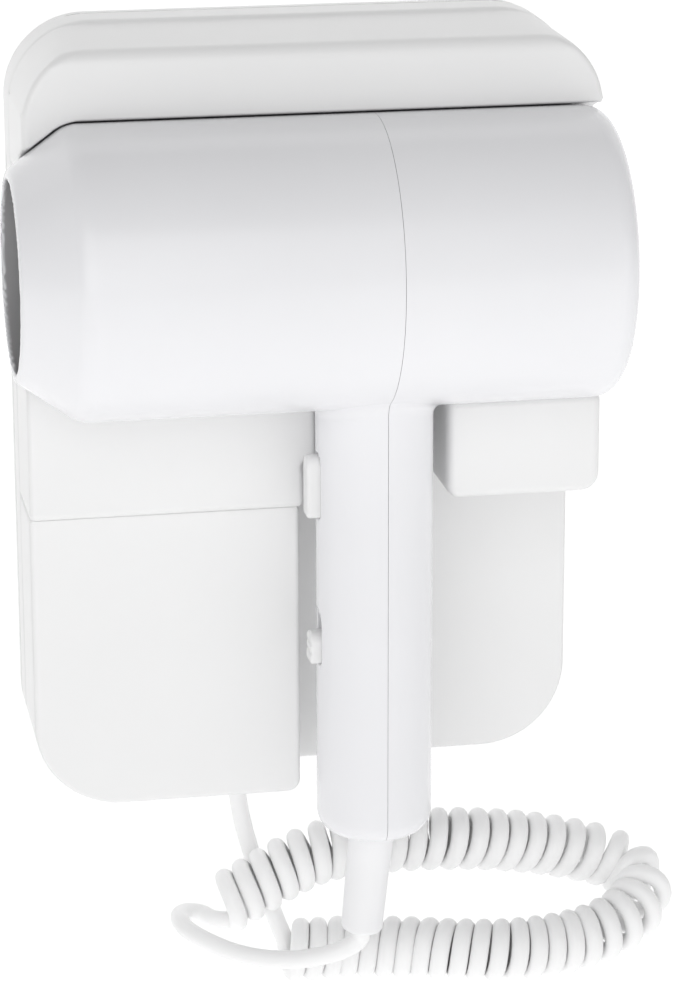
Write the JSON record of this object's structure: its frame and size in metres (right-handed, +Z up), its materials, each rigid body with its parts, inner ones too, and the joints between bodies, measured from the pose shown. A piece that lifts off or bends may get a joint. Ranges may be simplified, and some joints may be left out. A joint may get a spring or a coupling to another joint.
{
  "type": "wall-mounted hair dryer",
  "caption": "Wall holder with hood, cradle blocks and switch box, a parked pistol handset with nozzle, and a curly cord joining the two.",
  "frame": {"origin": "centre of the four wall screws, on the holder's back face", "axes": "+Z up the wall, +X to the right as seen from the front, the front faces -Y and the wall face looks along +Y"},
  "size_m": [0.1916, 0.0944, 0.2792],
  "materials": {
    "housing": "white moulded ABS, satin gloss",
    "handset": "white moulded ABS, a little cooler and glossier",
    "button": "white moulded, satin",
    "sleeve": "soft white PVC",
    "cord": "light grey PVC, semi-gloss",
    "steel": "zinc plated",
    "nylon": "natural nylon",
    "board": "green solder mask",
    "relay_blue": "moulded, matte",
    "black_plastic": "glass-filled nylon",
    "plunger_red": "acetal",
    "wire": "silicone insulation",
    "mica": "flaky mica sheet",
    "nichrome": "drawn wire",
    "fuse": "ceramic",
    "copper": "lacquered winding",
    "fan_grey": "moulded nylon",
    "filter_foam": "woven nylon mesh"
  },
  "bodies": {
    "holder": {"back_plate": "housing", "front_cover": "housing", "switch_box": "housing", "left_cradle": "housing", "right_cradle": "housing", "cover_screws": "steel", "terminal_block": "nylon", "supply_clamp": "nylon", "clamp_screws": "steel", "control_board": "board", "relay": "relay_blue", "board_posts": "nylon", "holder_switch": "black_plastic", "plunger_spring": "steel", "cord_gland": "cord", "holder_wiring": "wire", "base_lead": "cord", "coil_cord": "cord", "handset_lead": "cord"},
    "handset": {"nozzle_shell": "handset", "inlet_shell": "handset", "outlet_grille": "black_plastic", "heater_sleeve": "mica", "mica_cards": "mica", "heater_coils": "nichrome", "thermostat": "steel", "thermal_fuse": "fuse", "motor_can": "steel", "motor_mount": "black_plastic", "motor_brushes": "copper", "inlet_grille": "handset", "inlet_filter": "filter_foam", "button_spring": "steel", "button_switch": "black_plastic", "slide_switch": "steel", "handle_board": "board", "shell_screws": "steel", "cord_clamp": "black_plastic", "handset_wiring": "wire", "strain_relief": "sleeve"},
    "fan": {"fan": "fan_grey", "motor_shaft": "copper"},
    "button": {"press_button": "button"},
    "knob": {"slide_knob": "button"},
    "plunger": {"switch_plunger": "plunger_red"}
  },
  "joints": [
    {"name": "handset_pull", "type": "slide", "parent": "holder", "child": "handset", "axis": [0, -1, 0], "range_m": [0, 0.055]},
    {"name": "fan_spin", "type": "hinge", "parent": "handset", "child": "fan", "pos_m": [0.047, -0.0555, 0.0477], "axis": [1, 0, 0], "continuous": true},
    {"name": "button_press", "type": "slide", "parent": "handset", "child": "button", "axis": [1, 0, 0], "range_m": [0, 0.0022], "stiffness_N_per_m": 300, "springref_m": -0.002, "deforming": ["button_spring"]},
    {"name": "speed_slide", "type": "slide", "parent": "handset", "child": "knob", "axis": [0, 0, 1], "range_m": [0, 0.0056]},
    {"name": "holder_plunger", "type": "slide", "parent": "holder", "child": "plunger", "axis": [0, -1, 0], "range_m": [0, 0.003]}
  ],
  "couplings": [
    {"joint": "holder_plunger", "follows": "handset_pull", "ratio": 0.0545}
  ]
}
